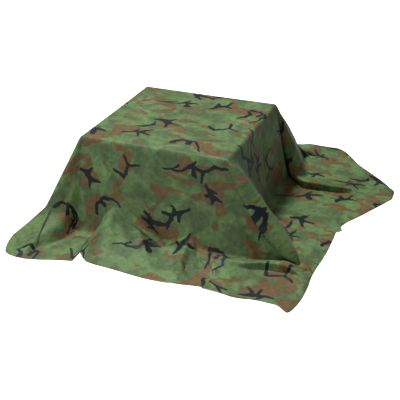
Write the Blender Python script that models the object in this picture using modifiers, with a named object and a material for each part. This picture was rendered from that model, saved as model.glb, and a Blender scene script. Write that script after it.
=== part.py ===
"""A camouflage cover draped over a plain box.

One square sheet of light cloth lies flat on the box, falls down its four sides and
runs out over the floor. The box is six plain boards. Metres, +Z up. The origin is the
middle of the box's base, on the floor; the front of the box faces -Y.
"""
from collections import namedtuple
import math

import bmesh
import bpy
import numpy as np

# ---------------------------------------------------------------- driving sizes
BOX_WIDTH = 0.466          # along X and along Y
BOX_HEIGHT = 0.280
BOARD = 0.009              # thickness of the box's boards
BOARD_GAP = 0.0003         # between neighbouring boards
ARRIS = 0.009              # rounding of the top board's upper edges
ARRIS_STEPS = 3            # faces across that rounding
WOOD_COLOUR = (0.62, 0.46, 0.29)
WOOD_ROUGHNESS = 0.6

CLOTH = 0.0010             # thickness of the sheet
CLOTH_REST = 0.0003        # the sheet's clearance over the top board
CLOTH_CLEAR = 0.002        # the sheet's clearance round the box's sides
TOP_MARGIN = 0.030         # from the flat middle of the sheet to the fold over the edge
CORNER_ROUND = 0.005       # plan radius of the fold at the box's corners
CLOTH_COLOUR = (0.09, 0.16, 0.06)
CLOTH_ROUGHNESS = 0.8

COLUMN_PITCH = 0.031       # spacing of the sheet's columns round the drape
LEAST_COLUMNS = 2          # from one section to the next
# how softly a section bends at its nodes: margin, edge, belly, toe, roll, spread and hem
EASE = (0.0, 0.009, 0.030, 0.020, 0.012, 0.016, 0.0)
# rows of the mesh over each stretch between a section's nodes and the bend at the edge
ROWS = (1, 1, 1, 2, 2, 1, 3, 3, 3)
EASE_STEPS = np.linspace(-1.0, 1.0, 9)   # where a stretch is averaged to round its bend
WELD = 0.000001            # points closer than this are one

# One row for each section of the drape, counted round from the front left corner.
# "edge" says where it leaves the top: 0 to 1 is the front edge, 1 to 2 the right one, 2 to
# 3 the back one and 3 to 4 the left one. "bow" is how far its fall swells outward at half
# height. "toe" is where the fall ends, "roll" and "spread" are points on the way out over
# the floor, and "hem" is on the sheet's rim. All but "edge" are in millimetres.
MM = 0.001
Section = namedtuple("Section", "edge bow toe roll spread hem")
NODE_COLUMNS = (2, 5, 8, 11)    # where toe, roll, spread and hem start in a section's row
SECTIONS = (
    # front left corner: the crest of its cone, the wall under it, the flap beside it
    Section(0.000, 0, (-300, -337, 70), (-293, -392, 52), (-290, -441, 24), (-313, -516, 0)),
    Section(0.010, 0, (-293, -339, 62), (-287, -422, 30), (-280, -447, 1), (-293, -516, 0)),
    Section(0.022, -18, (-250, -331, 62), (-249, -370, 34), (-243, -394, 1), (-263, -510, 0)),
    Section(0.036, -6, (-238, -318, 42), (-236, -342, 24), (-230, -363, 1), (-234, -502, 0)),
    Section(0.050, 0, (-229, -310, 14), (-227, -323, 8), (-221, -346, 1), (-207, -492, 0)),
    Section(0.100, -3, (-192, -318, 2), (-181, -377, 5), (-180, -430, 3), (-171, -481, 0)),
    # the notch in the hem and the tent beside it
    Section(0.140, 0, (-160, -316, 6), (-165, -360, 8), (-158, -420, 3), (-150, -474, 0)),
    Section(0.155, 0, (-152, -316, 10), (-158, -345, 4), (-158, -385, 0), (-152, -428, 0)),
    Section(0.180, 2, (-135, -304, 52), (-138, -345, 36), (-126, -395, 18), (-110, -464, 0)),
    Section(0.240, 4, (-106, -292, 100), (-106, -330, 74), (-98, -400, 30), (-80, -469, 0)),
    Section(0.320, 2, (-72, -298, 70), (-60, -340, 48), (-48, -400, 18), (-30, -472, 0)),
    Section(0.440, 0, (-6, -302, 30), (0, -345, 18), (6, -405, 7), (20, -477, 0)),
    # the lowest part of the front, then the small ridge
    Section(0.580, -3, (62, -308, 2), (68, -345, 6), (74, -405, 3), (85, -482, 0)),
    Section(0.670, 0, (122, -302, 30), (118, -342, 12), (124, -405, 4), (136, -480, 0)),
    Section(0.705, 0, (142, -302, 42), (142, -345, 26), (156, -405, 18), (164, -477, 3)),
    Section(0.735, 0, (154, -302, 36), (158, -345, 12), (176, -408, 1), (185, -472, 0)),
    # the pleat: the under layer, the layer turned back, and the flap over them
    Section(0.760, 0, (170, -306, 15), (186, -345, 4), (226, -405, 0), (244, -462, 0)),
    Section(0.775, 0, (180, -307, 14), (202, -345, 5), (272, -401, 0.4), (279, -459, 0.4)),
    Section(0.785, 0, (187, -307, 14), (208, -343, 7), (275, -400, 3.4), (281, -458, 3.4)),
    Section(0.800, 0, (198, -307, 14), (222, -338, 12), (262.5, -404, 4.6), (249, -475, 5)),
    Section(0.808, 0, (204, -307, 14), (228, -336, 16.5), (262, -403, 6.8), (249, -475, 7.2)),
    Section(0.840, 0, (232, -306, 14), (252, -336, 19), (292, -398, 7.2), (292, -478, 6.6)),
    # the roll under the corner cone
    Section(0.900, 0, (299, -301, 14), (314, -337, 23), (322, -346, 3), (348, -476, 0)),
    Section(0.950, -6, (368, -272, 6), (379, -318, 27), (384, -319, 2), (407, -467, 0)),
    Section(0.975, -12, (418, -256, 4), (432, -312, 27), (438, -306, 2), (455, -468, 0)),
    # front right corner: its tip, the two edges of the crest, the flank back to the box
    Section(0.988, -20, (457, -264, 8), (469, -314, 16), (480, -318, 3), (494, -491, 0)),
    Section(0.996, -8, (462, -262, 5), (482, -298, 13), (499, -331, 4), (514, -406, 0)),
    Section(1.006, 5, (461, -255, 4), (486, -268, 7), (504, -294, 5), (511, -322, 0)),
    Section(1.014, 0, (421, -175, 1), (456, -196, 2), (488, -228, 2), (513, -262, 0)),
    Section(1.030, -4, (398, -112, 1), (438, -140, 3), (480, -175, 4), (518, -205, 0)),
    Section(1.080, -6, (345, -50, 1), (400, -80, 4), (460, -115, 5), (521, -140, 0)),
    Section(1.200, -3, (303, -8, 1), (370, -35, 3), (445, -60, 4), (521, -85, 0)),
    # right side
    Section(1.350, 0, (284, 28, 2), (355, 12, 5), (440, -15, 2), (520, -40, 0)),
    Section(1.450, 2, (278, 55, 2), (352, 38, 3), (445, 8, 4), (534, -21, 0)),
    Section(1.500, 0, (276, 75, 2), (352, 60, 2), (448, 30, 3), (527, -2, 0)),
    Section(1.700, 3, (273, 138, 2), (352, 128, 1), (455, 125, 6), (578, 110, 0)),
    Section(1.880, 6, (276, 205, 2), (360, 200, 3), (465, 205, 3), (632, 220, 0)),
    # back right corner: the deep fold, the rim beside it, the face and the crest of the cone
    Section(1.980, 0, (286, 241, 4), (351, 210, 0), (484, 224, 0), (643, 246, 0)),
    Section(1.985, -13, (277, 288, 3), (350, 213, 2), (482, 226, 1), (643, 256, 0)),
    Section(1.990, 0, (298, 247, 24), (350, 211, 16), (481, 227, 10), (643, 270, 0)),
    Section(1.994, 0, (304, 249, 31), (351, 209, 28), (480, 229, 20), (643, 284, 0)),
    Section(2.000, 4, (342, 294, 6), (404, 306, 10), (500, 315, 4), (617, 330, 0)),
    Section(2.006, 4, (308, 385, 6), (350, 410, 1), (425, 435, 4), (495, 459, 0)),
    Section(2.012, 4, (286, 440, 12), (312, 470, 1), (345, 505, 4), (380, 572, 4)),
    Section(2.022, 10, (272, 398, 72), (274, 450, 34), (278, 505, 10), (290, 566, 4)),
    Section(2.034, 0, (225, 375, 40), (228, 440, 10), (230, 500, 2), (232, 563, 0)),
    # back
    Section(2.100, 0, (185, 280, 2), (188, 370, 2), (186, 460, 4), (182, 558, 0)),
    Section(2.400, 4, (50, 282, 2), (54, 360, 5), (56, 450, 2), (60, 545, 0)),
    Section(2.700, 0, (-100, 278, 1), (-104, 350, 2), (-105, 440, 4), (-105, 530, 0)),
    Section(2.920, 0, (-200, 282, 2), (-220, 350, 2), (-235, 430, 2), (-245, 520, 0)),
    # back left corner
    Section(2.985, 0, (-310, 318, 50), (-330, 375, 26), (-345, 440, 10), (-355, 515, 0)),
    Section(3.000, 6, (-338, 318, 50), (-362, 365, 26), (-382, 420, 12), (-400, 480, 0)),
    Section(3.030, 0, (-280, 235, 4), (-325, 255, 1), (-370, 280, 2), (-412, 310, 0)),
    # left side
    Section(3.300, 3, (-280, 90, 2), (-320, 92, 3), (-362, 95, 3), (-405, 100, 0)),
    Section(3.600, 0, (-277, -50, 2), (-315, -52, 4), (-355, -56, 2), (-396, -60, 0)),
    Section(3.940, 0, (-276, -180, 2), (-315, -205, 3), (-352, -228, 4), (-386, -250, 0)),
    Section(3.975, 0, (-320, -262, 38), (-345, -300, 24), (-364, -340, 10), (-381, -380, 0)),
    Section(3.988, 0, (-332, -296, 54), (-354, -340, 34), (-372, -378, 18), (-390, -408, 2)),
    Section(3.995, 0, (-314, -332, 70), (-323, -374, 50), (-341, -439, 15), (-354, -506, 0)),
)


# ---------------------------------------------------------------- the drape
def ring_point(turn, half):
    """The point of a round-cornered square ring, where turn counts its sides from FL."""
    side = int(turn) % 4
    along = (turn % 1.0) * 2.0 * half - half
    square = ((along, -half), (half, along), (-along, half), (-half, -along))[side]
    core = np.clip(square, CORNER_ROUND - half, half - CORNER_ROUND)
    out = np.array(square) - core
    return core + CORNER_ROUND * out / np.linalg.norm(out)


def section_values(section):
    """A section's numbers in one row, in metres, so that whole sections can be blended."""
    lengths = (section.bow, *section.toe, *section.roll, *section.spread, *section.hem)
    return np.array((section.edge, *(length * MM for length in lengths)))


def section_spacing(values):
    """The mean distance from each section to the next, over toe, roll, spread and hem."""
    following = np.roll(values, -1, axis=0)
    moves = following - values
    return np.mean([np.hypot(moves[:, a], moves[:, a + 1]) for a in NODE_COLUMNS], axis=0)


def smooth_slopes(values, spacing):
    """Slopes at the sections that let the blend pass through them without overshoot."""
    following = np.roll(values, -1, axis=0)
    following[-1, 0] += 4.0                       # the edge count goes on past the last section
    after = (following - values) / spacing[:, None]
    before = np.roll(after, 1, axis=0)
    h_after = spacing[:, None]
    h_before = np.roll(h_after, 1, axis=0)
    same_way = after * before > 0.0
    safe_after = np.where(same_way, after, 1.0)
    safe_before = np.where(same_way, before, 1.0)
    weight_before = 2.0 * h_after + h_before
    weight_after = h_after + 2.0 * h_before
    mean = (weight_before + weight_after) / (weight_before / safe_before + weight_after / safe_after)
    return np.where(same_way, mean, 0.0), following


def drape_columns():
    """The sections and the columns blended between them, all the way round."""
    values = np.array([section_values(section) for section in SECTIONS])
    spacing = section_spacing(values)
    slopes, following = smooth_slopes(values, spacing)
    next_slopes = np.roll(slopes, -1, axis=0)
    columns = []
    for k, step in enumerate(spacing):
        count = max(LEAST_COLUMNS, math.ceil(step / COLUMN_PITCH))
        for f in np.arange(count) / count:
            columns.append((2 * f**3 - 3 * f**2 + 1) * values[k]
                           + (f**3 - 2 * f**2 + f) * step * slopes[k]
                           + (3 * f**2 - 2 * f**3) * following[k]
                           + (f**3 - f**2) * step * next_slopes[k])
    return columns


def column_nodes(column):
    """A column's seven nodes, from the flat of the top, over the edge, to the hem."""
    top = BOX_HEIGHT + CLOTH_REST
    half = BOX_WIDTH / 2.0 + CLOTH_CLEAR
    margin = np.append(ring_point(column[0], half - TOP_MARGIN), top)
    edge = np.append(ring_point(column[0], half), top)
    toe, roll, spread, hem = (column[a:a + 3] for a in NODE_COLUMNS)
    outward = np.append(toe[:2] - edge[:2], 0.0)
    belly = (edge + toe) / 2.0 + column[1] * outward / np.linalg.norm(outward)
    return np.array((margin, edge, belly, toe, roll, spread, hem))


def softened(nodes):
    """Points down a column, whose corners at the nodes are rounded by the nodes' ease."""
    lengths = np.linalg.norm(np.diff(nodes, axis=0), axis=1)
    reach = np.concatenate(([0.0], np.cumsum(lengths)))
    start, edge, belly, toe, roll, spread, end = reach
    bends = (start, edge - EASE[1], edge, edge + EASE[1], belly, toe - EASE[3], toe, roll, spread,
             end)
    stations = [bends[0]]
    for a, b, count in zip(bends[:-1], bends[1:], ROWS):
        stations.extend(a + (b - a) * (i + 1) / count for i in range(count))
    points = []
    for s in stations:
        ease = min(np.interp(s, reach, EASE), s, end - s)
        window = s + ease * EASE_STEPS
        points.append([np.interp(window, reach, nodes[:, axis]).mean() for axis in range(3)])
    return points


def draped_sheet():
    """The cloth: its middle lies flat, its four sides are lofted down the columns."""
    grid = [softened(column_nodes(column)) for column in drape_columns()]
    grid.append(grid[0])
    rows = len(grid[0])
    bm = bmesh.new()
    bmesh.ops.create_grid(bm, x_segments=len(grid) - 1, y_segments=rows - 1, size=1.0)
    bm.verts.ensure_lookup_table()
    for i, vert in enumerate(bm.verts):
        vert.co = grid[i % len(grid)][i // len(grid)]
    bmesh.ops.remove_doubles(bm, verts=bm.verts[:], dist=WELD)
    rim = [e for e in bm.edges if e.is_boundary and min(v.co.z for v in e.verts) > BOX_HEIGHT]
    bmesh.ops.edgeloop_fill(bm, edges=rim)
    bmesh.ops.recalc_face_normals(bm, faces=bm.faces[:])
    return bm


# ---------------------------------------------------------------- objects
def finish_material(name, colour, roughness):
    """A plain finish of one colour."""
    material = bpy.data.materials.new(name)
    material.use_nodes = True
    shader = material.node_tree.nodes["Principled BSDF"]
    shader.inputs["Base Color"].default_value = (*colour, 1.0)
    shader.inputs["Roughness"].default_value = roughness
    shader.inputs["Metallic"].default_value = 0.0
    return material


def add_object(name, bm, material, collection):
    """A named object from a finished mesh."""
    mesh = bpy.data.meshes.new(name)
    bm.to_mesh(mesh)
    bm.free()
    mesh.materials.append(material)
    obj = bpy.data.objects.new(name, mesh)
    collection.objects.link(obj)
    return obj


def add_cloth(collection):
    """The sheet's own surface is its underside, so it lies at z = 0 on the floor."""
    finish = finish_material("printed_cloth", CLOTH_COLOUR, CLOTH_ROUGHNESS)
    cloth = add_object("cloth", draped_sheet(), finish, collection)
    cloth.data.shade_smooth()
    skin = cloth.modifiers.new("thickness", "SOLIDIFY")
    skin.thickness = CLOTH
    skin.offset = 1.0
    return cloth


def add_board(name, size, centre, collection):
    """One square-edged board of the box."""
    bm = bmesh.new()
    bmesh.ops.create_cube(bm, size=1.0)
    bmesh.ops.scale(bm, vec=size, verts=bm.verts)
    finish = finish_material(name + "_wood", WOOD_COLOUR, WOOD_ROUGHNESS)
    board = add_object(name, bm, finish, collection)
    board.location = centre
    return board


def add_box(collection):
    """Six boards: a base, four sides standing on it and a top with rounded edges."""
    side_height = BOX_HEIGHT - 2.0 * (BOARD + BOARD_GAP)
    middle = BOX_HEIGHT / 2.0
    offset = (BOX_WIDTH - BOARD) / 2.0
    inner = BOX_WIDTH - 2.0 * (BOARD + BOARD_GAP)
    add_board("box_base", (BOX_WIDTH, BOX_WIDTH, BOARD), (0.0, 0.0, BOARD / 2.0), collection)
    for name, way in (("front", -1.0), ("back", 1.0)):
        add_board("box_" + name, (BOX_WIDTH, BOARD, side_height), (0.0, way * offset, middle), collection)
    for name, way in (("left", -1.0), ("right", 1.0)):
        add_board("box_" + name, (BOARD, inner, side_height), (way * offset, 0.0, middle), collection)
    top = add_board("box_top", (BOX_WIDTH, BOX_WIDTH, BOARD), (0.0, 0.0, BOX_HEIGHT - BOARD / 2.0),
                    collection)
    weights = top.data.attributes.new("bevel_weight_edge", "FLOAT", "EDGE")
    for edge in top.data.edges:
        heights = [top.data.vertices[v].co.z for v in edge.vertices]
        weights.data[edge.index].value = 1.0 if max(heights) > 0.0 else 0.0
    rounding = top.modifiers.new("arris", "BEVEL")
    rounding.limit_method = "WEIGHT"
    rounding.width = ARRIS - BOARD_GAP
    rounding.segments = ARRIS_STEPS


def main():
    for obj in list(bpy.data.objects):
        bpy.data.objects.remove(obj)
    collection = bpy.data.collections.new("draped_cover")
    bpy.context.scene.collection.children.link(collection)
    add_box(collection)
    add_cloth(collection)


main()
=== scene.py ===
"""Dresses the draped camouflage cover: its cloth, its print, the box under it and a stage.

Metres, +Z up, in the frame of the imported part: the origin is the middle of the box's base
and the front of the box faces -Y.
"""
from collections import namedtuple
import math

import bmesh
import bpy
from bpy.props import FloatProperty, FloatVectorProperty, IntProperty, PointerProperty
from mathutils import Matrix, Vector
import numpy as np


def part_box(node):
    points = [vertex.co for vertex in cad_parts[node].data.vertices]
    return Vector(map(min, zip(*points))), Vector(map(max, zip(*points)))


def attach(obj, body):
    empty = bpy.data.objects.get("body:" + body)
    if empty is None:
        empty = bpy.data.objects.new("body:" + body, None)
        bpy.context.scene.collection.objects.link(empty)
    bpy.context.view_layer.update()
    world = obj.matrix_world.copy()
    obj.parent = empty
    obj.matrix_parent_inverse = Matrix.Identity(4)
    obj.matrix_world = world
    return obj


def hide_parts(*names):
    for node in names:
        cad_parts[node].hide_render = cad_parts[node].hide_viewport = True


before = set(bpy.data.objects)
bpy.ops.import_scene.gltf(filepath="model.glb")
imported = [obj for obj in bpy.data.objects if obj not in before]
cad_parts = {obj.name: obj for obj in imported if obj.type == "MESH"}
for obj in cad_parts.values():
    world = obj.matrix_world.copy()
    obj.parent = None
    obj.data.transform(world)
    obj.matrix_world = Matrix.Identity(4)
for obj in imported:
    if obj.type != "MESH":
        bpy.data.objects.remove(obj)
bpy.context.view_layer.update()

bl_info = {
    "name": "Draped camouflage cover",
    "version": (1, 0, 0),
    "blender": (4, 5, 0),
    "location": "3D View > Sidebar > Cover",
    "description": "Builds a printed camouflage cover draped over a plain box, with a stage",
    "category": "Object",
}

# ---------------------------------------------------------------- driving sizes
BOX_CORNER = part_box("box_top")[1]       # the top board's upper corner, back and right
BOX_HALF = BOX_CORNER.x
BOX_HEIGHT = BOX_CORNER.z

CLOTH_REST = 0.0003        # the sheet's clearance over the top board
CLOTH_CLEAR = 0.002        # the sheet's clearance round the box's sides
TOP_MARGIN = 0.030         # from the flat middle of the sheet to the fold over the edge
CORNER_ROUND = 0.005       # plan radius of the fold at the box's corners
# how softly a section bends at its nodes: margin, edge, belly, toe, roll, spread and hem
EASE = (0.0, 0.009, 0.030, 0.010, 0.007, 0.009, 0.0)
# rows of the mesh over each stretch between a section's nodes and the bend at the edge
ROWS = (1, 3, 3, 16, 15, 5, 10, 14, 19)
TOP_RINGS = 8              # rows of the mesh from the sheet's middle to the margin
LEAST_COLUMNS = 3          # from one section to the next
EASE_STEPS = np.linspace(-1.0, 1.0, 9)   # where a stretch is averaged to round its bend
WELD = 0.000001            # points closer than this are one
FLOOR_LIFT = 0.0002        # the least height of the sheet's underside over the floor

# One row for each section of the drape, counted round from the front left corner.
# "edge" says where it leaves the top: 0 to 1 is the front edge, 1 to 2 the right one, 2 to
# 3 the back one and 3 to 4 the left one. "bow" is how far its fall swells outward at half
# height. "toe" is where the fall ends, "roll" and "spread" are points on the way out over
# the floor, and "hem" is on the sheet's rim. All but "edge" are in millimetres.
MM = 0.001
Section = namedtuple("Section", "edge bow toe roll spread hem")
NODE_COLUMNS = (2, 5, 8, 11)    # where toe, roll, spread and hem start in a section's row
SECTIONS = (
    # front left corner: the crest of its cone, the wall under it, the flap beside it
    Section(0.000, 0, (-300, -337, 70), (-293, -392, 52), (-290, -441, 24), (-313, -516, 0)),
    Section(0.010, 0, (-293, -339, 62), (-287, -422, 30), (-280, -447, 1), (-293, -516, 0)),
    Section(0.022, -18, (-250, -331, 62), (-249, -370, 34), (-243, -394, 1), (-263, -510, 0)),
    Section(0.036, -6, (-238, -318, 42), (-236, -342, 24), (-230, -363, 1), (-234, -502, 0)),
    Section(0.050, 0, (-229, -310, 14), (-227, -323, 8), (-221, -346, 1), (-207, -492, 0)),
    Section(0.100, -3, (-192, -318, 2), (-181, -377, 5), (-180, -430, 3), (-171, -481, 0)),
    # the notch in the hem and the tent beside it
    Section(0.140, 0, (-160, -316, 6), (-165, -360, 8), (-158, -420, 3), (-150, -474, 0)),
    Section(0.155, 0, (-152, -316, 10), (-158, -345, 4), (-158, -385, 0), (-152, -428, 0)),
    Section(0.180, 2, (-135, -304, 52), (-138, -345, 36), (-126, -395, 18), (-110, -464, 0)),
    Section(0.240, 4, (-106, -292, 100), (-106, -330, 74), (-98, -400, 30), (-80, -469, 0)),
    Section(0.320, 2, (-72, -298, 70), (-60, -340, 48), (-48, -400, 18), (-30, -472, 0)),
    Section(0.440, 0, (-6, -302, 30), (0, -345, 18), (6, -405, 7), (20, -477, 0)),
    # the lowest part of the front, then the small ridge
    Section(0.580, -3, (62, -308, 2), (68, -345, 6), (74, -405, 3), (85, -482, 0)),
    Section(0.670, 0, (122, -302, 30), (118, -342, 12), (124, -405, 4), (136, -480, 0)),
    Section(0.705, 0, (142, -302, 42), (142, -345, 26), (156, -405, 18), (164, -477, 3)),
    Section(0.735, 0, (154, -302, 36), (158, -345, 12), (176, -408, 1), (185, -472, 0)),
    # the pleat: the under layer, the layer turned back, and the flap over them
    Section(0.760, 0, (170, -306, 15), (186, -345, 4), (226, -405, 0), (244, -462, 0)),
    Section(0.775, 0, (180, -307, 14), (202, -345, 5), (272, -401, 0.4), (279, -459, 0.4)),
    Section(0.785, 0, (187, -307, 14), (208, -343, 7), (275, -400, 3.4), (281, -458, 3.4)),
    Section(0.800, 0, (198, -307, 14), (222, -338, 12), (262.5, -404, 4.6), (249, -475, 5)),
    Section(0.808, 0, (204, -307, 14), (228, -336, 16.5), (262, -403, 6.8), (249, -475, 7.2)),
    Section(0.840, 0, (232, -306, 14), (252, -336, 19), (292, -398, 7.2), (292, -478, 6.6)),
    # the roll under the corner cone
    Section(0.900, 0, (299, -301, 14), (314, -337, 23), (322, -346, 3), (348, -476, 0)),
    Section(0.950, -6, (368, -272, 6), (379, -318, 27), (384, -319, 2), (407, -467, 0)),
    Section(0.975, -12, (418, -256, 4), (432, -312, 27), (438, -306, 2), (455, -468, 0)),
    # front right corner: its tip, the two edges of the crest, the flank back to the box
    Section(0.988, -20, (457, -264, 8), (469, -314, 16), (480, -318, 3), (494, -491, 0)),
    Section(0.996, -8, (462, -262, 5), (482, -298, 13), (499, -331, 4), (514, -406, 0)),
    Section(1.006, 5, (461, -255, 4), (486, -268, 7), (504, -294, 5), (511, -322, 0)),
    Section(1.014, 0, (421, -175, 1), (456, -196, 2), (488, -228, 2), (513, -262, 0)),
    Section(1.030, -4, (398, -112, 1), (438, -140, 3), (480, -175, 4), (518, -205, 0)),
    Section(1.080, -6, (345, -50, 1), (400, -80, 4), (460, -115, 5), (521, -140, 0)),
    Section(1.200, -3, (303, -8, 1), (370, -35, 3), (445, -60, 4), (521, -85, 0)),
    # right side
    Section(1.350, 0, (284, 28, 2), (355, 12, 5), (440, -15, 2), (520, -40, 0)),
    Section(1.450, 2, (278, 55, 2), (352, 38, 3), (445, 8, 4), (534, -21, 0)),
    Section(1.500, 0, (276, 75, 2), (352, 60, 2), (448, 30, 3), (527, -2, 0)),
    Section(1.700, 3, (273, 138, 2), (352, 128, 1), (455, 125, 6), (578, 110, 0)),
    Section(1.880, 6, (276, 205, 2), (360, 200, 3), (465, 205, 3), (632, 220, 0)),
    # back right corner: the deep fold, the rim beside it, the face and the crest of the cone
    Section(1.980, 0, (286, 241, 4), (351, 210, 0), (484, 224, 0), (643, 246, 0)),
    Section(1.985, -13, (277, 288, 3), (350, 213, 2), (482, 226, 1), (643, 256, 0)),
    Section(1.990, 0, (298, 247, 24), (350, 211, 16), (481, 227, 10), (643, 270, 0)),
    Section(1.994, 0, (304, 249, 31), (351, 209, 28), (480, 229, 20), (643, 284, 0)),
    Section(2.000, 4, (342, 294, 6), (404, 306, 10), (500, 315, 4), (617, 330, 0)),
    Section(2.006, 4, (308, 385, 6), (350, 410, 1), (425, 435, 4), (495, 459, 0)),
    Section(2.012, 4, (286, 440, 12), (312, 470, 1), (345, 505, 4), (380, 572, 4)),
    Section(2.022, 10, (272, 398, 72), (274, 450, 34), (278, 505, 10), (290, 566, 4)),
    Section(2.034, 0, (225, 375, 40), (228, 440, 10), (230, 500, 2), (232, 563, 0)),
    # back
    Section(2.100, 0, (185, 280, 2), (188, 370, 2), (186, 460, 4), (182, 558, 0)),
    Section(2.400, 4, (50, 282, 2), (54, 360, 5), (56, 450, 2), (60, 545, 0)),
    Section(2.700, 0, (-100, 278, 1), (-104, 350, 2), (-105, 440, 4), (-105, 530, 0)),
    Section(2.920, 0, (-200, 282, 2), (-220, 350, 2), (-235, 430, 2), (-245, 520, 0)),
    # back left corner
    Section(2.985, 0, (-310, 318, 50), (-330, 375, 26), (-345, 440, 10), (-355, 515, 0)),
    Section(3.000, 6, (-338, 318, 50), (-362, 365, 26), (-382, 420, 12), (-400, 480, 0)),
    Section(3.030, 0, (-280, 235, 4), (-325, 255, 1), (-370, 280, 2), (-412, 310, 0)),
    # left side
    Section(3.300, 3, (-280, 90, 2), (-320, 92, 3), (-362, 95, 3), (-405, 100, 0)),
    Section(3.600, 0, (-277, -50, 2), (-315, -52, 4), (-355, -56, 2), (-396, -60, 0)),
    Section(3.940, 0, (-276, -180, 2), (-315, -205, 3), (-352, -228, 4), (-386, -250, 0)),
    Section(3.975, 0, (-320, -262, 38), (-345, -300, 24), (-364, -340, 10), (-381, -380, 0)),
    Section(3.988, 0, (-332, -296, 54), (-354, -340, 34), (-372, -378, 18), (-390, -408, 2)),
    Section(3.995, 0, (-314, -332, 70), (-323, -374, 50), (-341, -439, 15), (-354, -506, 0)),
)

FOLDS = (1.008, 1.986, 3.0)    # where round the edge the sheet is tucked under itself
COARSENESS = (6, 3, 1)     # columns and rows left out while the flat layout is eased
PULL = 0.12                # share of a length's error taken out in one round

# Creases of the cloth that are finer than its sections: "rise" is the height of a ridge, or
# the depth of a trough below zero, and "spread" how far it reaches to the left and to the
# right of its path. "path" runs along it, and it fades out at both ends. All in millimetres.
Crease = namedtuple("Crease", "rise spread path")
RIDGE_SHAPE = 1.3          # a ridge is nearly pointed across its path
TROUGH_SHAPE = 2.0         # a trough is rounded
CREASES = (
    # front left corner: the valley beside the crest, a fine crease, the flap's curl
    Crease(-3, (12, 12), ((-235, -249, 247), (-251, -280, 178), (-257, -309, 110),
        (-259, -337, 61))),
    Crease(2.5, (3, 3), ((-295, -312, 115), (-270, -308, 125), (-246, -296, 126))),
    Crease(-9, (5, 6), ((-379, -421, 8), (-351, -458, 10), (-328, -478, 9), (-303, -471, 14))),
    # front: the slanting valley and ridge
    Crease(-6, (9, 9), ((-176, -244, 248), (-153, -255, 214), (-125, -266, 191), (-98, -279, 146),
        (-91, -289, 108))),
    Crease(4, (14, 14), ((-206, -245, 244), (-182, -261, 189), (-154, -285, 114))),
    # the tent's ridges and hollows, the notch
    Crease(-8, (11, 10), ((-60, -285, 109), (-13, -291, 71), (39, -302, 26), (61, -307, 9))),
    Crease(11, (9, 7), ((-40, -297, 61), (7, -302, 29), (35, -307, 12), (62, -314, 3))),
    Crease(10, (9, 7), ((65, -314, 4), (102, -305, 21), (140, -305, 42))),
    Crease(10, (9, 12), ((-37, -297, 58), (-20, -307, 36), (4, -331, 20), (40, -382, 6),
        (83, -442, 2))),
    Crease(-4, (10, 10), ((-92, -311, 82), (-74, -343, 55), (-48, -377, 28))),
    Crease(-4, (4, 4), ((-154, -412, 0), (-152, -377, 5), (-115, -381, 36), (-97, -377, 44))),
    Crease(12, (9, 8), ((146, -381, 20), (156, -411, 17), (172, -427, 4), (192, -446, 0))),
    Crease(-9, (8, 8), ((161, -393, 14), (178, -405, 2), (199, -427, 0))),
    # the pleat's arch and the crest that runs from it to the roll
    Crease(7, (9, 9), ((150, -306, 38), (170, -308, 17), (226, -326, 16), (283, -342, 19),
        (321, -338, 19))),
    Crease(13, (12, 6), ((186, -338, 6), (219, -363, 3), (263, -412, 7))),
    Crease(12, (9, 9), ((185, -340, 5), (185, -377, 3), (186, -411, 1))),
    # front right corner: the hollow under the tip, the flap's creases
    Crease(-14, (8, 7), ((367, -269, 14), (407, -262, 7), (443, -272, 10), (466, -274, 8))),
    Crease(10, (11, 8), ((443, -313, 3), (473, -349, 2), (503, -388, 2))),
    Crease(9, (14, 9), ((472, -315, 11), (490, -329, 4), (502, -363, 2), (513, -402, 0))),
    Crease(-5, (8, 7), ((472, -315, 12), (489, -294, 9), (509, -267, 0))),
    # the two edges of its crest, the valleys left of it
    Crease(26, (22, 34), ((240, -236, 265), (264, -239, 231), (296, -244, 183), (326, -247, 135),
        (352, -249, 101), (387, -255, 79), (428, -259, 42), (462, -256, 6))),
    Crease(5, (8, 8), ((272, -238, 231), (298, -223, 195), (325, -189, 137), (351, -169, 92),
        (385, -159, 43), (407, -156, 11))),
    Crease(-5, (16, 14), ((274, -241, 198), (300, -244, 150), (328, -250, 103), (349, -256, 65),
        (369, -259, 37))),
    Crease(-5, (8, 8), ((296, -269, 93), (324, -270, 60), (343, -272, 32), (361, -279, 10))),
    # right side
    Crease(-4, (9, 9), ((238, 72, 259), (253, 59, 157), (270, 62, 44))),
    Crease(3, (8, 8), ((248, 145, 204), (266, 139, 58))),
    Crease(5, (10, 10), ((398, -114, 3), (434, -142, 3), (465, -121, 5), (492, -93, 2))),
    # back right corner: the hollows round its foot, the rim of its flank
    Crease(16, (14, 14), ((252, 533, 3), (306, 532, 7), (357, 544, 4))),
    Crease(-6, (9, 9), ((290, 414, 28), (312, 477, 5), (353, 509, 4))),
    Crease(-5, (5, 5), ((318, 275, 70), (325, 306, 42), (333, 281, 28), (359, 264, 17))),
    Crease(4, (9, 5), ((304, 247, 15), (351, 214, 28), (399, 216, 22), (445, 223, 20),
        (481, 230, 20))),
    Crease(-9, (20, 20), ((507, 271, 11), (559, 262, 10), (605, 269, 4))),
    Crease(-13, (13, 13), ((503, 237, 17), (529, 244, 13), (564, 253, 8))),
    Crease(3, (5, 5), ((506, 230, 0), (532, 183, 2), (553, 148, 2))),
    Crease(-2.5, (4, 4), ((478, 141, 5), (518, 124, 3), (575, 151, 1))),
)

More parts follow.
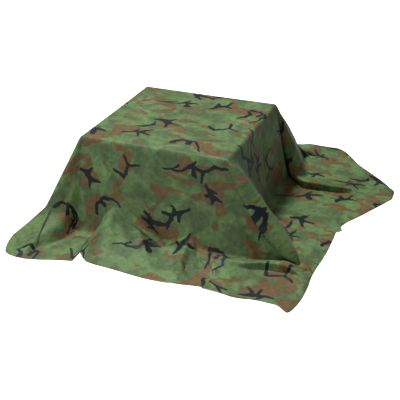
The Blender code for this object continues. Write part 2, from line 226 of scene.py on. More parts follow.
# The print's twigs. Each stroke of a twig runs from its start by its reach, in millimetres,
# and its two half widths are those at the start and at the end.
Stroke = namedtuple("Stroke", "start reach widths")
TWIGS = {
    "forked": (
        Stroke((0, 0), (50, 8), (4.0, 7.0)),
        Stroke((50, 8), (34, 24), (9.0, 3.6)),
        Stroke((50, 8), (30, -18), (8.0, 3.2)),
        Stroke((24, 4), (14, 24), (6.0, 3.0)),
        Stroke((40, 8), (6, -28), (6.5, 3.4)),
    ),
    "hooked": (
        Stroke((0, 0), (14, 24), (8.0, 6.5)),
        Stroke((14, 24), (40, 8), (6.0, 5.0)),
        Stroke((54, 32), (34, -28), (5.0, 4.2)),
        Stroke((88, 4), (14, -30), (4.4, 3.0)),
        Stroke((38, 30), (10, -24), (6.5, 8.5)),
    ),
    "long": (
        Stroke((0, 0), (62, -4), (3.0, 4.2)),
        Stroke((62, -4), (44, 16), (4.4, 8.5)),
        Stroke((106, 12), (28, -4), (8.5, 3.4)),
        Stroke((84, 6), (20, 24), (6.0, 3.6)),
        Stroke((98, 10), (8, -26), (6.0, 9.0)),
        Stroke((30, -2), (26, 16), (3.6, 3.4)),
    ),
    "crooked": (
        Stroke((0, 0), (18, -30), (4.0, 6.5)),
        Stroke((18, -30), (38, 20), (5.6, 4.8)),
        Stroke((56, -10), (4, 28), (5.2, 5.0)),
        Stroke((56, -10), (28, -18), (5.0, 2.8)),
    ),
    "broad": (
        Stroke((0, 0), (24, 10), (5.0, 12.0)),
        Stroke((24, 10), (26, -4), (12.0, 8.0)),
        Stroke((50, 6), (28, 18), (7.5, 3.4)),
        Stroke((28, 12), (2, 26), (8.5, 4.0)),
        Stroke((46, 2), (16, -24), (7.0, 4.4)),
    ),
    "loose": (
        Stroke((0, 0), (34, -14), (3.4, 6.5)),
        Stroke((34, -14), (36, 8), (6.5, 5.0)),
        Stroke((70, -6), (20, 20), (6.0, 3.4)),
    ),
}
# Where the twigs stand in one repeat of the print, in millimetres, with their turn in
# degrees and their scale.
Place = namedtuple("Place", "twig at turn scale")
REPEAT = 660.0             # millimetres, both ways
BORDER = 30.0              # millimetres beyond the repeat in which a stroke still counts
FAR = 1000.0               # millimetres, farther than any twig
PLACES = (
    Place("forked", (40, 60), 12, 1.05),
    Place("hooked", (210, 45), -8, 1.00),
    Place("loose", (395, 90), 24, 1.05),
    Place("long", (520, 30), 4, 0.95),
    Place("broad", (95, 190), -30, 1.05),
    Place("crooked", (265, 195), 15, 1.10),
    Place("long", (385, 215), -38, 1.15),
    Place("forked", (565, 190), 160, 1.00),
    Place("long", (25, 330), 8, 1.10),
    Place("broad", (225, 335), 40, 0.95),
    Place("hooked", (350, 365), -62, 1.00),
    Place("crooked", (520, 330), -14, 1.15),
    Place("loose", (120, 460), -18, 1.15),
    Place("forked", (270, 480), 198, 1.10),
    Place("hooked", (446, 508), -50, 0.95),
    Place("hooked", (600, 455), 20, 0.90),
    Place("crooked", (30, 575), 28, 1.00),
    Place("long", (190, 600), -6, 1.00),
    Place("loose", (400, 610), 200, 1.10),
    Place("broad", (560, 585), -48, 1.00),
    Place("loose", (60, 120), 40, 0.70),
    Place("forked", (470, 120), -28, 0.70),
    Place("loose", (330, 290), 70, 0.75),
    Place("forked", (160, 400), 120, 0.70),
    Place("loose", (510, 430), 100, 0.75),
    Place("forked", (330, 560), -70, 0.70),
)

# How the print is laid on. A scale counts a noise's features in a metre of cloth, and a pair
# named an edge holds the two values between which one colour or tone turns into the next.
PRINT_SHIFT = (0.17, 0.22, 0.0)     # metres by which the repeat is moved along the sheet
SWAY_SCALE = 17.0          # the noise that bends every outline of the print
SWAY = (0.034, 0.034, 0.0)      # metres
RAGGED_SCALE = 120.0       # the noise that frays the twigs' edges
RAGGED = 3.0               # millimetres
INK_EDGE = (0.9, -0.9)     # millimetres outside a twig
PATCH_SHIFT = (0.0, 0.55, 0.0)      # where the brown patches lie under the twigs
PATCH_STRETCH = (0.8, 1.25, 1.0)    # the patches are a little longer across the sheet
PATCH_SCALE = 12.5
PATCH_EDGE = (0.542, 0.592)
TWIG_REACH = 26.0          # millimetres from a twig over which brown is likelier
TWIG_PULL = 0.055
SHADE_STRETCH = (1.0, 1.3, 1.0)
SHADE_SCALE = 13.0         # the dark green on the light
SHADE_EDGE = (0.42, 0.62)

# The cloth under the print, in the same units.
FIBRE_SCALE = 330.0
CLOUD_SCALE = 60.0
FIBRE_SHARE = 0.45         # of the fibres in the mottle, the clouds having the rest
MOTTLE_EDGE = (0.34, 0.66)
MOTTLE_TONE = (0.72, 1.32)      # darkest and lightest share of the print's colour
BROAD_SHADE_SCALE = 6.0           # painted broad shade: large areas a little darker or lighter at random
BROAD_SHADE_EDGE = (0.32, 0.68)
BROAD_SHADE_TONE = (0.88, 1.12)
CRINKLE_SCALE = 26.0
CRINKLE = 2.6              # height in millimetres, as the next two
FIBRE = 0.16
CREST = 0.6                # thin crests, where the cloth was crumpled
CREST_SCALE = 21.0
CREST_EDGE = (0.06, 0.0)
CRUMPLED_SCALE = 9.0
CRUMPLED_EDGE = (0.45, 0.62)
GLOSS_EDGE = (0.30, 0.70)
GLOSS = (0.54, 0.66)       # roughness of the darkest and the lightest mottle
SPECULAR = 0.30
SHEEN = 0.06
SHEEN_ROUGHNESS = 0.5

# The boards' grain and pores, drawn out along X, and their finish.
GRAIN_STRETCH = (2.0, 26.0, 26.0)
GRAIN_SCALE = 3.0
GRAIN_EDGE = (0.35, 0.68)
PORE_STRETCH = (40.0, 900.0, 900.0)
PORE_BUMP = 0.2
WOOD_GLOSS_EDGE = (0.3, 0.7)
WOOD_GLOSS = (0.52, 0.66)

# The stage.
WHITE = (1.0, 1.0, 1.0, 1.0)
FLOOR_HALF = 12.0          # half of the floor's side
FLOOR_DROP = 0.0004        # the floor lies this far below z = 0
FLOOR_BOUNCE = 0.70        # share of the floor's colour that lights the cover from below
FLOOR_ROUGHNESS = 0.9
CAMERA_PLACE = (0.8939, -2.1231, 1.2203)
CAMERA_PITCH = 28.061      # degrees below level
CAMERA_YAW = 21.502        # degrees
SENSOR_WIDTH = 36.0        # millimetres
# Square lights aimed at the origin; "share" is of the overhead power and "side" in metres.
Lamp = namedtuple("Lamp", "name share side place")
LAMPS = (
    Lamp("overhead", 1.00, 0.6, (-1.1, 0.6, 3.9)),
    Lamp("front right", 0.08, 1.2, (1.2, -2.2, 3.2)),
    Lamp("front", 0.25, 1.5, (-1.0, -4.0, 1.2)),
)


# ---------------------------------------------------------------- settings
class CoverSettings(bpy.types.PropertyGroup):
    """Sizes and colours of the printed cover."""
    thickness: FloatProperty(
        name="Thickness", description="Thickness of the sheet",
        default=0.0010, min=0.0005, max=0.003, unit="LENGTH")
    pitch: FloatProperty(
        name="Column pitch", description="Spacing of the mesh's columns round the drape",
        default=0.0078, min=0.005, max=0.03, unit="LENGTH")
    rounds: IntProperty(
        name="Flattening rounds", description="How often the flat layout of the print is eased",
        default=240, min=0, max=1000)
    light_green: FloatVectorProperty(
        name="Light green", description="Ground colour of the print",
        default=(0.126, 0.214, 0.074), min=0.0, max=1.0, subtype="COLOR")
    dark_green: FloatVectorProperty(
        name="Dark green", description="Large soft patches on the ground",
        default=(0.080, 0.132, 0.050), min=0.0, max=1.0, subtype="COLOR")
    brown: FloatVectorProperty(
        name="Brown", description="Large patches of the print",
        default=(0.152, 0.095, 0.036), min=0.0, max=1.0, subtype="COLOR")
    ink: FloatVectorProperty(
        name="Blue-black", description="Twigs of the print",
        default=(0.002, 0.009, 0.013), min=0.0, max=1.0, subtype="COLOR")


class BoxSettings(bpy.types.PropertyGroup):
    """Finish of the box's boards."""
    pale_wood: FloatVectorProperty(
        name="Pale wood", description="Early wood of the boards",
        default=(0.62, 0.46, 0.29), min=0.0, max=1.0, subtype="COLOR")
    dark_wood: FloatVectorProperty(
        name="Dark wood", description="Late wood of the boards",
        default=(0.44, 0.29, 0.16), min=0.0, max=1.0, subtype="COLOR")


class StageSettings(bpy.types.PropertyGroup):
    """Floor, lights and camera."""
    floor_colour: FloatVectorProperty(
        name="Floor", description="Colour of the floor",
        default=(0.90, 0.90, 0.90), min=0.0, max=1.0, subtype="COLOR")
    overhead: FloatProperty(
        name="Overhead light", description="Power of the large light over the cover",
        default=152.0, min=0.0, max=1000.0, unit="POWER")
    surround: FloatProperty(
        name="Surround", description="Strength of the white light from all sides",
        default=0.11, min=0.0, max=3.0)
    lens: FloatProperty(
        name="Lens", description="Focal length of the camera, in millimetres",
        default=70.823, min=10.0, max=300.0, unit="CAMERA")


# ---------------------------------------------------------------- the drape
def ring_point(turn, half):
    """The point of a round-cornered square ring; turn counts its sides from the front left."""
    side = int(turn) % 4
    along = (turn % 1.0) * 2.0 * half - half
    square = ((along, -half), (half, along), (-along, half), (-half, -along))[side]
    core = np.clip(square, CORNER_ROUND - half, half - CORNER_ROUND)
    out = np.array(square) - core
    return core + CORNER_ROUND * out / np.linalg.norm(out)


def section_values(section):
    """A section's numbers in one row, in metres, so that whole sections can be blended."""
    lengths = (section.bow, *section.toe, *section.roll, *section.spread, *section.hem)
    return np.array((section.edge, *(length * MM for length in lengths)))


def section_spacing(values):
    """The mean distance from each section to the next, over toe, roll, spread and hem."""
    moves = np.roll(values, -1, axis=0) - values
    return np.mean([np.hypot(moves[:, a], moves[:, a + 1]) for a in NODE_COLUMNS], axis=0)


def smooth_slopes(values, spacing):
    """Slopes at the sections that let the blend pass through them without overshoot."""
    following = np.roll(values, -1, axis=0)
    following[-1, 0] += 4.0                       # the edge count goes on past the last section
    after = (following - values) / spacing[:, None]
    before = np.roll(after, 1, axis=0)
    h_after = spacing[:, None]
    h_before = np.roll(h_after, 1, axis=0)
    same_way = after * before > 0.0
    safe_after = np.where(same_way, after, 1.0)
    safe_before = np.where(same_way, before, 1.0)
    weight_before = 2.0 * h_after + h_before
    weight_after = h_after + 2.0 * h_before
    mean = (weight_before + weight_after) / (weight_before / safe_before + weight_after / safe_after)
    return np.where(same_way, mean, 0.0), following


def drape_columns(pitch):
    """The sections and the columns blended between them, all the way round."""
    values = np.array([section_values(section) for section in SECTIONS])
    spacing = section_spacing(values)
    slopes, following = smooth_slopes(values, spacing)
    next_slopes = np.roll(slopes, -1, axis=0)
    columns = []
    for k, step in enumerate(spacing):
        count = max(LEAST_COLUMNS, math.ceil(step / pitch))
        for f in np.arange(count) / count:
            columns.append((2 * f**3 - 3 * f**2 + 1) * values[k]
                           + (f**3 - 2 * f**2 + f) * step * slopes[k]
                           + (3 * f**2 - 2 * f**3) * following[k]
                           + (f**3 - f**2) * step * next_slopes[k])
    return columns


def column_nodes(column):
    """A column's seven nodes, from the flat of the top, over the edge, to the hem."""
    top = BOX_HEIGHT + CLOTH_REST
    half = BOX_HALF + CLOTH_CLEAR
    margin = np.append(ring_point(column[0], half - TOP_MARGIN), top)
    edge = np.append(ring_point(column[0], half), top)
    toe, roll, spread, hem = (column[a:a + 3] for a in NODE_COLUMNS)
    outward = np.append(toe[:2] - edge[:2], 0.0)
    belly = (edge + toe) / 2.0 + column[1] * outward / np.linalg.norm(outward)
    return np.array((margin, edge, belly, toe, roll, spread, hem))


def softened(nodes):
    """Points down a column, whose corners at the nodes are rounded by the nodes' ease."""
    lengths = np.linalg.norm(np.diff(nodes, axis=0), axis=1)
    reach = np.concatenate(([0.0], np.cumsum(lengths)))
    start, edge, belly, toe, roll, spread, end = reach
    bends = (start, edge - EASE[1], edge, edge + EASE[1], belly, toe - EASE[3], toe, roll, spread,
             end)
    stations = [bends[0]]
    for a, b, count in zip(bends[:-1], bends[1:], ROWS):
        stations.extend(a + (b - a) * (i + 1) / count for i in range(count))
    stations = np.array(stations)
    ease = np.minimum(np.interp(stations, reach, EASE), np.minimum(stations, end - stations))
    window = stations[:, None] + ease[:, None] * EASE_STEPS
    return np.stack([np.interp(window, reach, nodes[:, axis]).mean(axis=1) for axis in range(3)], 1)


def drape_points(columns):
    """The draped sheet as columns of points, from the margin of its flat top to the hem."""
    return np.array([softened(column_nodes(column)) for column in columns])


# ---------------------------------------------------------------- the sheet laid flat
def panels_of(edges):
    """The runs of columns between the folds, each run with the first column of the next."""
    count = len(edges)
    cuts = [int(np.argmin(np.abs(edges % 4.0 - fold))) for fold in FOLDS]
    runs = []
    for first, last in zip(cuts, cuts[1:] + [cuts[0] + count]):
        runs.append(np.arange(first, last + 1) % count)
    return runs


def fanned_out(points, edges):
    """A first layout of a panel on the flat: straight columns that open like a fan."""
    starts = points[:, 0, :2]
    steps = np.linalg.norm(np.diff(points, axis=1), axis=2)
    reach = np.concatenate((np.zeros((len(points), 1)), np.cumsum(steps, axis=1)), axis=1)
    gaps = np.linalg.norm(np.diff(points, axis=0), axis=2)
    outer = slice(points.shape[1] // 2, None)     # the rows nearer the hem
    opening = (gaps[:, outer].mean(axis=1) - gaps[:, 0]) / reach[1:, outer].mean(axis=1)
    angles = np.concatenate(([0.0], np.cumsum(np.maximum(opening, 0.0))))
    square = (np.floor(edges) - 1.0) * math.pi / 2.0
    angles += (square - angles).mean()
    ways = np.stack((np.cos(angles), np.sin(angles)), axis=1)
    return starts[:, None, :] + reach[:, :, None] * ways[:, None, :]


def eased(points, flat, rounds):
    """The layout after some rounds in which every short length pulls towards its real one."""
    flat = flat.copy()
    whole, before, after = slice(None), slice(None, -1), slice(1, None)
    links = (((after, whole), (before, whole)), ((whole, after), (whole, before)),
             ((after, after), (before, before)), ((after, before), (before, after)))
    rests = [np.linalg.norm(points[there] - points[here], axis=2) for there, here in links]
    for _ in range(rounds):
        push = np.zeros_like(flat)
        for (there, here), rest in zip(links, rests):
            gap = flat[there] - flat[here]
            length = np.maximum(np.linalg.norm(gap, axis=2), WELD)
            pull = gap * (PULL * (length - rest) / length)[:, :, None]
            push[here] += pull
            push[there] -= pull
        push[:, 0] = 0.0
        flat += push
    return flat


def stretched_over(values, marks, count, axis):
    """Values known at some columns or rows, carried over all of them."""
    wanted = np.arange(count)
    return np.apply_along_axis(lambda known: np.interp(wanted, marks, known), axis, values)


def laid_flat(points, edges, rounds):
    """A panel's flat layout, eased coarsely first and then finely."""
    flat = fanned_out(points, edges)
    for stride in COARSENESS:
        columns, rows = (np.unique(np.linspace(0, n - 1, n // stride + 1).astype(int))
                         for n in points.shape[:2])
        pick = np.ix_(columns, rows)
        shift = eased(points[pick], flat[pick], rounds) - flat[pick]
        shift = stretched_over(shift, columns, points.shape[0], 0)
        flat = flat + stretched_over(shift, rows, points.shape[1], 1)
    return flat


# ---------------------------------------------------------------- creases
def crease_shape(points, normals, crease):
    """How high one crease lifts each point, from the point's distance to its path."""
    path = np.array(crease.path) * MM
    lengths = np.linalg.norm(np.diff(path, axis=0), axis=1)
    total = lengths.sum()
    nearest = np.full(points.shape[:2], np.inf)
    share = np.zeros(points.shape[:2])
    left_side = np.zeros(points.shape[:2], dtype=bool)
    passed = 0.0
    for a, b, length in zip(path[:-1], path[1:], lengths):
        along = np.clip((points - a) @ (b - a) / length**2, 0.0, 1.0)
        offset = points - a - along[..., None] * (b - a)
        distance = np.linalg.norm(offset, axis=2)
        closer = distance < nearest
        nearest = np.where(closer, distance, nearest)
        share = np.where(closer, (passed + along * length) / total, share)
        on_left = np.sum(np.cross(b - a, offset) * normals, axis=2) > 0.0
        left_side = np.where(closer, on_left, left_side)
        passed += length
    fade = np.clip(4.0 * share * (1.0 - share), 0.0, 1.0) ** 0.5
    across = nearest / (np.where(left_side, *crease.spread) * MM)
    power = RIDGE_SHAPE if crease.rise > 0.0 else TROUGH_SHAPE
    return crease.rise * MM * fade * np.exp(-across ** power)


def creased(points):
    """The sheet with its fine creases, each lifted square to the surface."""
    down = np.gradient(points, axis=1)
    across = np.roll(points, -1, axis=0) - np.roll(points, 1, axis=0)
    normals = np.cross(across, down)
    normals *= -1.0 / np.maximum(np.linalg.norm(normals, axis=2), WELD**2)[:, :, None]
    lift = sum(crease_shape(points, normals, crease) for crease in CREASES)
    moved = points + normals * lift[:, :, None]
    moved[:, :, 2] = np.maximum(moved[:, :, 2], FLOOR_LIFT)
    return moved


# ---------------------------------------------------------------- the cloth's mesh
def with_top(points):
    """The columns carried on over the flat top, ring by ring, to the sheet's middle."""
    shares = np.arange(TOP_RINGS)[:, None] / TOP_RINGS
    top = np.repeat(points[:, :1], TOP_RINGS, axis=1)
    top[:, :, :2] *= shares
    return np.concatenate((top, points), axis=1)


def sheet_mesh(name, points, flat):
    """A grid moved onto the columns and closed round, with the flat layout as its UV map.

    Two panels meet in columns with the same points, which are welded once the map is set.
    """
    count, rows = points.shape[:2]
    bm = bmesh.new()
    bmesh.ops.create_grid(bm, x_segments=count - 1, y_segments=rows - 1, size=1.0)
    sheet = bm.loops.layers.uv.new("sheet")
    place = {}
    for i, vert in enumerate(bm.verts):
        vert.co = points[i % count, i // count]
        place[vert] = flat[i % count, i // count]
    for face in bm.faces:
        for loop in face.loops:
            loop[sheet].uv = place[loop.vert]
    bmesh.ops.remove_doubles(bm, verts=bm.verts[:], dist=WELD)
    bmesh.ops.recalc_face_normals(bm, faces=bm.faces[:])
    mesh = bpy.data.meshes.new(name)
    bm.to_mesh(mesh)
    bm.free()
    mesh.shade_smooth()
    return mesh


# ---------------------------------------------------------------- shader helpers
class Wiring:
    """Adds nodes to one node tree and joins them, so that a material reads as a formula."""

    def __init__(self, tree):
        self.tree = tree

    def put(self, kind, inputs=(), **settings):
        """One node; inputs are (socket, value or output) pairs, settings its properties."""
        node = self.tree.nodes.new(kind)
        for key, value in settings.items():
            setattr(node, key, value)
        for key, value in inputs:
            if isinstance(value, bpy.types.NodeSocket):
                self.tree.links.new(value, node.inputs[key])
            else:
                node.inputs[key].default_value = value
        return node

    def math(self, operation, *values, clamp=False):
        """A Math node's result."""
        node = self.put("ShaderNodeMath", enumerate(values), operation=operation, use_clamp=clamp)
        return node.outputs[0]

    def vector(self, operation, *values):
        """A Vector Math node's result, a number for a dot product, length or distance."""
        node = self.put("ShaderNodeVectorMath", enumerate(values), operation=operation)
        number = operation in {"DOT_PRODUCT", "LENGTH", "DISTANCE"}
        return node.outputs["Value" if number else "Vector"]

    def noise(self, place, scale, detail=2.0, roughness=0.5, distortion=0.0):
        """A Noise Texture node, of which a caller takes the Fac or the Color output."""
        return self.put("ShaderNodeTexNoise", (
            ("Vector", place), ("Scale", scale), ("Detail", detail),
            ("Roughness", roughness), ("Distortion", distortion)))

    def ramp(self, value, low, high, from_value=0.0, to_value=1.0):
        """A smooth step of value between low and high."""
        node = self.put("ShaderNodeMapRange", (
            ("Value", value), ("From Min", low), ("From Max", high),
            ("To Min", from_value), ("To Max", to_value)), interpolation_type="SMOOTHSTEP")
        return node.outputs["Result"]

    def mix(self, share, first, second, blend="MIX"):
        """A colour between two colours."""
        node = self.put("ShaderNodeMix", data_type="RGBA", blend_type=blend)
        for key, value in ((0, share), (6, first), (7, second)):
            if isinstance(value, bpy.types.NodeSocket):
                self.tree.links.new(value, node.inputs[key])
            else:
                node.inputs[key].default_value = value
        return node.outputs[2]


def new_material(name):
    """A material, its wiring and its Principled shader."""
    material = bpy.data.materials.new(name)
    material.use_nodes = True
    return material, Wiring(material.node_tree), material.node_tree.nodes["Principled BSDF"]


def feed(wiring, shader, **outputs):
    """Joins outputs to the shader's sockets, which are named with _ for a space."""
    for key, value in outputs.items():
        wiring.tree.links.new(value, shader.inputs[key.replace("_", " ")])


# ---------------------------------------------------------------- the print
def stroke_group():
    """A node group that takes one stroke into the distance to the nearest one.

    Its place holds x and y in the repeat, and as z the distance so far, all in millimetres.
    The strokes hang on one chain, so that the shader never holds many of them at once.
    """
    group = bpy.data.node_groups.new("Stroke", "ShaderNodeTree")
    sockets = (("Place", "NodeSocketVector"), ("Start", "NodeSocketVector"),
               ("Reach", "NodeSocketVector"), ("Slant", "NodeSocketVector"),
               ("Width", "NodeSocketFloat"), ("Taper", "NodeSocketFloat"))
    for name, kind in sockets:
        group.interface.new_socket(name, in_out="INPUT", socket_type=kind)
    group.interface.new_socket("Place", in_out="OUTPUT", socket_type="NodeSocketVector")
    wiring = Wiring(group)
    given = wiring.put("NodeGroupInput").outputs
    offset = wiring.vector("MULTIPLY_ADD", given["Place"], (1.0, 1.0, 0.0), given["Start"])
    along = wiring.math("ADD", wiring.vector("DOT_PRODUCT", offset, given["Slant"]), 0.0, clamp=True)
    aside = wiring.vector("MULTIPLY_ADD", given["Reach"], along, offset)
    width = wiring.math("MULTIPLY_ADD", along, given["Taper"], given["Width"])
    outside = wiring.math("SUBTRACT", wiring.vector("LENGTH", aside), width)
    old = wiring.put("ShaderNodeSeparateXYZ", ((0, given["Place"]),)).outputs
    nearest = wiring.math("MINIMUM", outside, old["Z"])
    new = wiring.put("ShaderNodeCombineXYZ", (("X", old["X"]), ("Y", old["Y"]), ("Z", nearest)))
    wiring.put("NodeGroupOutput", ((0, new.outputs[0]),))
    return group


def placed_strokes():
    """Every stroke of one repeat, with copies of those that cross its borders."""
    strokes = []
    for place in PLACES:
        turn = math.radians(place.turn)
        matrix = place.scale * np.array(((math.cos(turn), -math.sin(turn)),
                                         (math.sin(turn), math.cos(turn))))
        for stroke in TWIGS[place.twig]:
            start = np.array(place.at) + matrix @ stroke.start
            reach = matrix @ stroke.reach
            strokes.extend(copies_in_repeat(start, reach, stroke.widths))
    return strokes


def copies_in_repeat(start, reach, widths):
    """The copies of a stroke, one repeat apart, that come near the repeat's square."""
    room = BORDER + max(widths)
    copies = []
    for across in (-REPEAT, 0.0, REPEAT):
        for up in (-REPEAT, 0.0, REPEAT):
            moved = start + (across, up)
            low = np.minimum(moved, moved + reach)
            high = np.maximum(moved, moved + reach)
            if (high > -room).all() and (low < REPEAT + room).all():
                copies.append((moved, reach, widths))
    return copies


def twig_distance(wiring, place):
    """The distance in millimetres from a place in the repeat to the nearest twig."""
    group = stroke_group()
    for start, reach, (first, last) in placed_strokes():
        node = wiring.put("ShaderNodeGroup", (("Place", place),), node_tree=group)
        values = {"Start": (*-start, 0.0), "Reach": (*-reach, 0.0),
                  "Slant": (*reach / (reach @ reach), 0.0), "Width": first, "Taper": last - first}
        for key, value in values.items():
            node.inputs[key].default_value = value
        place = node.outputs["Place"]
    return wiring.put("ShaderNodeSeparateXYZ", ((0, place),)).outputs["Z"]


def in_one_repeat(wiring, place):
    """A place on the sheet, in metres, as one in the repeat, in millimetres and far off in z."""
    in_mm = wiring.vector("SCALE", place)
    in_mm.node.inputs["Scale"].default_value = 1.0 / MM
    wrapped = wiring.put("ShaderNodeVectorMath", (
        (0, in_mm), (1, (REPEAT, REPEAT, 1.0)), (2, (0.0, 0.0, 0.0))), operation="WRAP").outputs[0]
    return wiring.vector("MULTIPLY_ADD", wrapped, (1.0, 1.0, 0.0), (0.0, 0.0, FAR))


def thin_crests(wiring, flat):
    """Where the cloth was crumpled, a net of thin crests between shallow facets, 0 to 1."""
    crests = wiring.noise(flat, CREST_SCALE, detail=1.0, distortion=0.2).outputs["Fac"]
    crests = wiring.math("ABSOLUTE", wiring.math("SUBTRACT", crests, 0.5))
    crumpled = wiring.noise(flat, CRUMPLED_SCALE, detail=1.0).outputs["Fac"]
    return wiring.math("MULTIPLY", wiring.ramp(crests, *CREST_EDGE),
                       wiring.ramp(crumpled, *CRUMPLED_EDGE))


def cover_material(settings):
    """Light woven cloth with a woodland print in two greens, brown and blue-black."""
    material, wiring, shader = new_material("printed_cloth")
    flat = wiring.put("ShaderNodeUVMap", uv_map="sheet").outputs["UV"]
    flat = wiring.vector("ADD", flat, PRINT_SHIFT)
    sway = wiring.noise(flat, SWAY_SCALE).outputs["Color"]
    sway = wiring.vector("MULTIPLY", wiring.vector("SUBTRACT", sway, (0.5, 0.5, 0.5)), SWAY)
    swayed = wiring.vector("ADD", flat, sway)
    twigs = twig_distance(wiring, in_one_repeat(wiring, swayed))
    ragged = wiring.noise(flat, RAGGED_SCALE, detail=1.0).outputs["Fac"]
    edge = wiring.math("MULTIPLY_ADD", ragged, RAGGED, -RAGGED / 2.0)
    ink = wiring.ramp(wiring.math("ADD", twigs, edge), *INK_EDGE)

    place = wiring.vector("MULTIPLY_ADD", swayed, PATCH_STRETCH, PATCH_SHIFT)
    patches = wiring.noise(place, PATCH_SCALE, detail=1.5, distortion=1.1).outputs["Fac"]
    near_twigs = wiring.ramp(twigs, TWIG_REACH, 0.0, 0.0, TWIG_PULL)
    brown = wiring.ramp(wiring.math("ADD", patches, near_twigs), *PATCH_EDGE)
    place = wiring.vector("MULTIPLY", swayed, SHADE_STRETCH)
    shade = wiring.noise(place, SHADE_SCALE, detail=3.0, distortion=0.5).outputs["Fac"]
    shade = wiring.ramp(shade, *SHADE_EDGE)
    colour = wiring.mix(shade, (*settings.light_green, 1.0), (*settings.dark_green, 1.0))
    colour = wiring.mix(brown, colour, (*settings.brown, 1.0))
    colour = wiring.mix(ink, colour, (*settings.ink, 1.0))

    fibres = wiring.noise(flat, FIBRE_SCALE, detail=3.0, roughness=0.7).outputs["Fac"]
    clouds = wiring.noise(flat, CLOUD_SCALE, detail=3.0, roughness=0.65).outputs["Fac"]
    clouds = wiring.math("MULTIPLY", clouds, 1.0 - FIBRE_SHARE)
    mottle = wiring.math("MULTIPLY_ADD", fibres, FIBRE_SHARE, clouds)
    # painted broad shade: large areas of the cloth made a little darker or lighter at random
    broad_shade = wiring.noise(flat, BROAD_SHADE_SCALE).outputs["Fac"]
    tone = wiring.math("MULTIPLY", wiring.ramp(mottle, *MOTTLE_EDGE, *MOTTLE_TONE),
                       wiring.ramp(broad_shade, *BROAD_SHADE_EDGE, *BROAD_SHADE_TONE))
    tones = wiring.put("ShaderNodeCombineColor", ((0, tone), (1, tone), (2, tone))).outputs[0]
    colour = wiring.mix(1.0, colour, tones, blend="MULTIPLY")

    crinkle = wiring.noise(flat, CRINKLE_SCALE, detail=3.0, roughness=0.6).outputs["Fac"]
    height = wiring.math("MULTIPLY_ADD", crinkle, CRINKLE, wiring.math("MULTIPLY", fibres, FIBRE))
    height = wiring.math("MULTIPLY_ADD", thin_crests(wiring, flat), CREST, height)
    bump = wiring.put("ShaderNodeBump", (("Strength", 1.0), ("Distance", MM), ("Height", height)))
    rough = wiring.ramp(mottle, *GLOSS_EDGE, *GLOSS)
    feed(wiring, shader, Base_Color=colour, Roughness=rough, Normal=bump.outputs["Normal"])
    shader.inputs["Metallic"].default_value = 0.0
    shader.inputs["Specular IOR Level"].default_value = SPECULAR
    shader.inputs["Sheen Weight"].default_value = SHEEN
    shader.inputs["Sheen Roughness"].default_value = SHEEN_ROUGHNESS
    return material


def wood_material(settings):
    """Plain sanded boards, with grain along X."""
    material, wiring, shader = new_material("sanded_wood")
    place = wiring.put("ShaderNodeTexCoord").outputs["Object"]
    drawn = wiring.vector("MULTIPLY", place, GRAIN_STRETCH)
    grain = wiring.noise(drawn, GRAIN_SCALE, detail=5.0, roughness=0.6, distortion=0.4)
    grain = grain.outputs["Fac"]
    pores = wiring.noise(wiring.vector("MULTIPLY", place, PORE_STRETCH), 1.0).outputs["Fac"]
    colour = wiring.mix(wiring.ramp(grain, *GRAIN_EDGE), (*settings.pale_wood, 1.0),
                        (*settings.dark_wood, 1.0))
    rough = wiring.ramp(grain, *WOOD_GLOSS_EDGE, *WOOD_GLOSS)
    bump = wiring.put("ShaderNodeBump", (
        ("Strength", PORE_BUMP), ("Distance", MM), ("Height", pores)))
    feed(wiring, shader, Base_Color=colour, Roughness=rough, Normal=bump.outputs["Normal"])
    shader.inputs["Metallic"].default_value = 0.0
    return material


# ---------------------------------------------------------------- the stage
def add_to_scene(name, data):
    """A new object in the scene."""
    item = bpy.data.objects.new(name, data)
    bpy.context.scene.collection.objects.link(item)
    return item


def floor_material(colour):
    """Pale paint that is plain white where the camera sees it."""
    material, wiring, shader = new_material("floor_paint")
    seen = wiring.put("ShaderNodeLightPath").outputs["Is Camera Ray"]
    dimmed = (*(FLOOR_BOUNCE * part for part in colour), 1.0)
    feed(wiring, shader, Base_Color=wiring.mix(seen, dimmed, (*colour, 1.0)), Emission_Strength=seen)
    shader.inputs["Roughness"].default_value = FLOOR_ROUGHNESS
    shader.inputs["Emission Color"].default_value = WHITE
    return material


def add_floor(colour):
    """A large flat floor just under the cover."""
    bm = bmesh.new()
    bmesh.ops.create_grid(bm, x_segments=1, y_segments=1, size=FLOOR_HALF)
    bmesh.ops.translate(bm, verts=bm.verts, vec=(0.0, 0.0, -FLOOR_DROP))
    mesh = bpy.data.meshes.new("floor")
    bm.to_mesh(mesh)
    bm.free()
    mesh.materials.append(floor_material(colour))
    add_to_scene("floor", mesh)


def add_lights(overhead, surround):
    """The square lights and the white surround."""
    world = bpy.data.worlds.new("studio")
    world.use_nodes = True
    background = world.node_tree.nodes["Background"]
    background.inputs["Color"].default_value = WHITE
    background.inputs["Strength"].default_value = surround
    bpy.context.scene.world = world
    for lamp in LAMPS:
        light = bpy.data.lights.new(lamp.name, "AREA")
        light.shape = "SQUARE"
        light.size = lamp.side
        light.energy = overhead * lamp.share
        item = add_to_scene(lamp.name, light)
        item.location = lamp.place
        item.rotation_euler = (-Vector(lamp.place)).to_track_quat("-Z", "Y").to_euler()


def add_camera(lens):
    """The camera, which the scene then uses."""
    camera = add_to_scene("camera", bpy.data.cameras.new("camera"))
    camera.data.sensor_width = SENSOR_WIDTH
    camera.data.lens = lens
    camera.location = CAMERA_PLACE
    camera.rotation_euler = (math.radians(90.0 - CAMERA_PITCH), 0.0, math.radians(CAMERA_YAW))
    bpy.context.scene.camera = camera


# ---------------------------------------------------------------- operators
class COVER_OT_stage(bpy.types.Operator):
    """Add the floor, the lights and the camera"""
    bl_idname = "cover.stage"
    bl_label = "Add the stage"

    def execute(self, context):
        settings = context.scene.cover_stage
        add_floor(settings.floor_colour)
        add_lights(settings.overhead, settings.surround)
        add_camera(settings.lens)
        context.scene.view_settings.view_transform = "Standard"
        return {"FINISHED"}


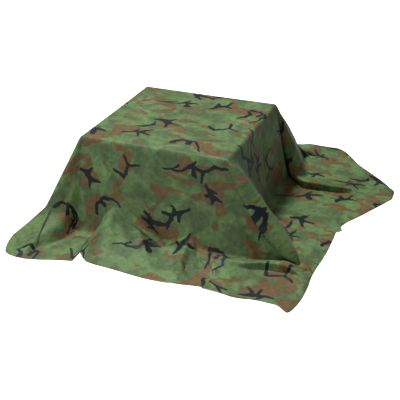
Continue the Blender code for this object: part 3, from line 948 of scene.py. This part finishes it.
class COVER_OT_cloth(bpy.types.Operator):
    """Build the draped and printed cloth"""
    bl_idname = "cover.cloth"
    bl_label = "Build the cloth"

    def execute(self, context):
        settings = context.scene.cover_cloth
        columns = drape_columns(settings.pitch)
        edges = np.array([column[0] for column in columns])
        points = drape_points(columns)
        panels = panels_of(edges)
        turns = [np.unwrap(edges[run], period=4.0) for run in panels]
        flat = np.concatenate([laid_flat(points[run], turn, settings.rounds)
                               for run, turn in zip(panels, turns)])
        points = with_top(creased(points))[np.concatenate(panels)]
        top = points[:, :TOP_RINGS, :2]
        mesh = sheet_mesh("camouflage_cloth", points, np.concatenate((top, flat), axis=1))
        mesh.materials.append(cover_material(settings))
        cloth = add_to_scene("camouflage_cloth", mesh)
        skin = cloth.modifiers.new("thickness", "SOLIDIFY")
        skin.thickness = settings.thickness
        skin.offset = 1.0
        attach(cloth, "root")
        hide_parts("cloth")
        return {"FINISHED"}


class COVER_OT_box(bpy.types.Operator):
    """Give the box's boards their wood"""
    bl_idname = "cover.box"
    bl_label = "Finish the box"

    def execute(self, context):
        wood = wood_material(context.scene.cover_box)
        for name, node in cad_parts.items():
            if name.startswith("box_"):
                node.data.materials.clear()
                node.data.materials.append(wood)
        return {"FINISHED"}


class COVER_PT_panel(bpy.types.Panel):
    """The cover's pieces, one button each"""
    bl_idname = "COVER_PT_panel"
    bl_label = "Draped cover"
    bl_space_type = "VIEW_3D"
    bl_region_type = "UI"
    bl_category = "Cover"

    def draw(self, context):
        for settings, operator in STEPS:
            box = self.layout.box()
            box.operator(operator)
            group = getattr(context.scene, settings)
            for key in type(group).__annotations__:
                box.prop(group, key)


STEPS = (("cover_stage", "cover.stage"), ("cover_cloth", "cover.cloth"), ("cover_box", "cover.box"))
GROUPS = (("cover_stage", StageSettings), ("cover_cloth", CoverSettings), ("cover_box", BoxSettings))
CLASSES = (CoverSettings, BoxSettings, StageSettings, COVER_OT_stage, COVER_OT_cloth, COVER_OT_box,
           COVER_PT_panel)


def register():
    for item in CLASSES:
        bpy.utils.register_class(item)
    for name, group in GROUPS:
        setattr(bpy.types.Scene, name, PointerProperty(type=group))


def unregister():
    for name, _ in GROUPS:
        delattr(bpy.types.Scene, name)
    for item in reversed(CLASSES):
        bpy.utils.unregister_class(item)


def main():
    """Build the cover, its box and its stage."""
    register()
    bpy.ops.cover.stage()
    bpy.ops.cover.cloth()
    bpy.ops.cover.box()


if __name__ == "__main__":
    main()
